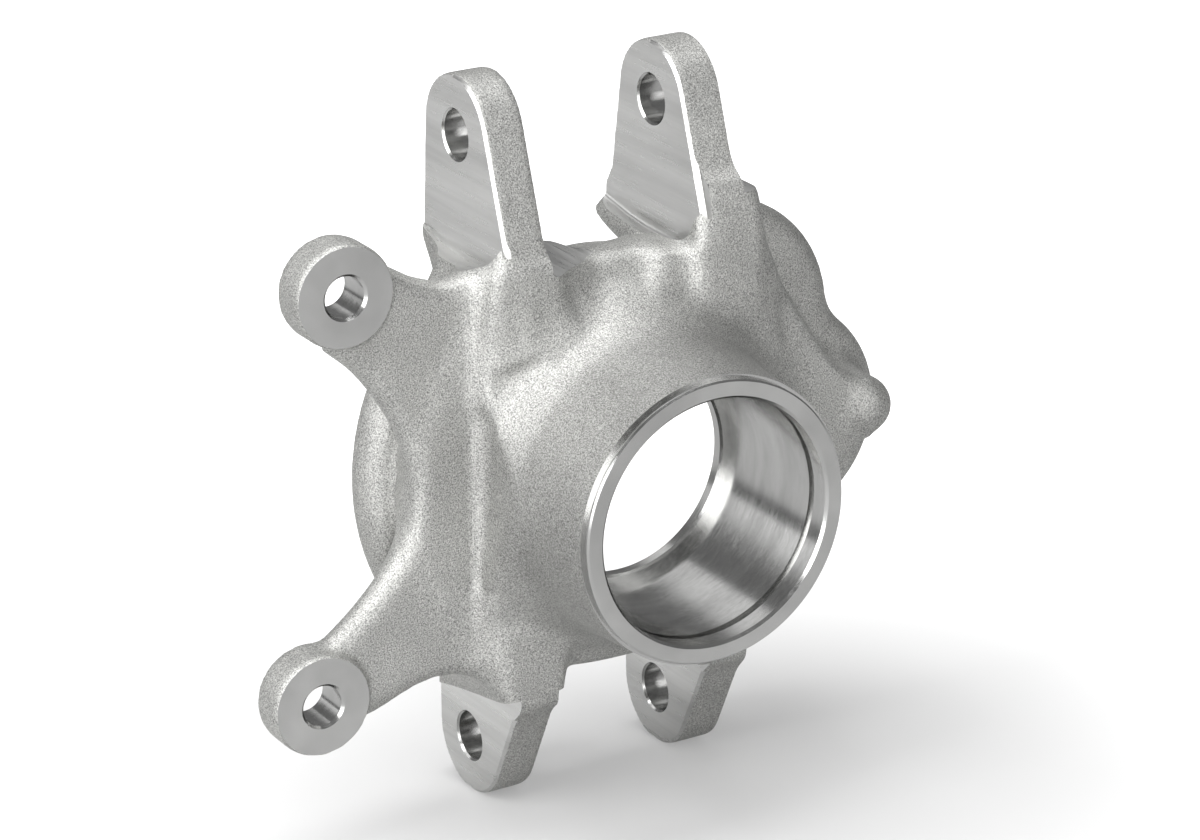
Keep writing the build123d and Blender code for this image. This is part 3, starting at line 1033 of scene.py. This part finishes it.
white = (1, 1, 1, 1)
studio = {
    "floorZ": -0.1049,
    "floorHalf": 4.0,
    "floorTone": 0.5,
    "floorRoughness": 0.9,
    "floorGlow": ((0.12, 0.22), (0.34, 1.0)),  # distance from the object and the glow there, near and far
    "worldTone": 0.2,
    "lightSize": 0.9,
    "lights": (
        # name, place, power
        ("frontLowLight", (1.27, -0.81, 0.2), 10.5),
        ("bandLight", (0.75, -1.2, 0.25), 8.5),
        ("frontRightLight", (1.4, 0.41, 0.35), 4.5),
        ("leftHighLight", (0.11, -1.11, 1.0), 16.0),
        ("topLight", (0.06, 0.0, 1.5), 16.0),
        ("leftBackLight", (-0.86, -1.1, 0.55), 3.0),
        ("backTopLight", (-0.93, 0.23, 1.16), 2.0),
    ),
}


def frameAt(right, up, back, place):
    # The matrix whose columns are these four vectors
    return Matrix([*zip(right, up, back, place), (0, 0, 0, 1)])


def aimAtOrigin(place):
    # Looks from the place to the origin, with the sideways axis level
    back = np.array(place) / np.linalg.norm(place)
    right = np.cross((0, 0, 1), back)
    right /= np.linalg.norm(right)
    return frameAt(right, np.cross(back, right), back, place)


for name, place, power in studio["lights"]:
    light = bpy.data.lights.new(name, "AREA")
    light.shape = "SQUARE"
    light.size = studio["lightSize"]
    light.energy = power
    lamp = addPiece(name, light)
    lamp.matrix_world = aimAtOrigin(place)

# The floor takes the object's shadow, and glows for the camera alone, more so away from the object
floorMaterial, floorNodes, floorLinks, floorShader, floorPlace = startMaterial(
    "paleFloor", 0.0, studio["floorRoughness"]
)
floorShader.inputs["Base Color"].default_value = (studio["floorTone"],) * 3 + (1,)
floorShader.inputs["Specular IOR Level"].default_value = 0.0
floorShader.inputs["Emission Color"].default_value = white
away = floorNodes.new("ShaderNodeVectorMath")
away.operation = "LENGTH"
floorLinks.new(floorPlace.outputs["Object"], away.inputs[0])
fade = mapRange(floorNodes, floorLinks, away.outputs["Value"], *studio["floorGlow"])
fade.interpolation_type = "SMOOTHSTEP"
floorRays = floorNodes.new("ShaderNodeLightPath")
seen = floorNodes.new("ShaderNodeMath")
seen.operation = "MULTIPLY"
floorLinks.new(floorRays.outputs["Is Camera Ray"], seen.inputs[0])
floorLinks.new(fade.outputs["Result"], seen.inputs[1])
floorLinks.new(seen.outputs[0], floorShader.inputs["Emission Strength"])

half, level = studio["floorHalf"], studio["floorZ"]
floorMesh = bpy.data.meshes.new("floor")
floorCorners = [(x, y, level) for x, y in boxOutline(-half, -half, half, half)]
floorMesh.from_pydata(floorCorners, [], [(0, 1, 2, 3)])
floorMesh.materials.append(floorMaterial)
addPiece("floor", floorMesh)

# The world is white for the camera and dim for the object
world = bpy.context.scene.world or bpy.data.worlds.new("studioWorld")
bpy.context.scene.world = world
world.use_nodes = True
worldNodes, worldLinks = world.node_tree.nodes, world.node_tree.links
backdrop = worldNodes["Background"]
backdrop.inputs["Color"].default_value = white
worldRays = worldNodes.new("ShaderNodeLightPath")
direct = worldNodes.new("ShaderNodeMath")
direct.operation = "MAXIMUM"
worldLinks.new(worldRays.outputs["Is Camera Ray"], direct.inputs[0])
worldLinks.new(worldRays.outputs["Is Transmission Ray"], direct.inputs[1])
worldGlow = mapRange(worldNodes, worldLinks, direct.outputs[0], (0, studio["worldTone"]), (1, 1))
worldLinks.new(worldGlow.outputs["Result"], backdrop.inputs["Strength"])

cameraForm = {
    "place": (0.9865, -0.6027, 0.4647),
    "right": (0.512, 0.8589, -0.0111),
    "up": (-0.302, 0.1921, 0.9337),
    "back": (0.8042, -0.4747, 0.3578),
    "lens": 129.82,
    "sensor": 36.0,
}
cameraData = bpy.data.cameras.new("camera")
cameraData.lens = cameraForm["lens"]
cameraData.sensor_width = cameraForm["sensor"]
camera = addPiece("camera", cameraData)
camera.matrix_world = frameAt(*(cameraForm[key] for key in ("right", "up", "back", "place")))
bpy.context.scene.camera = camera
bpy.context.scene.view_settings.view_transform = "Standard"
print("studio set up")
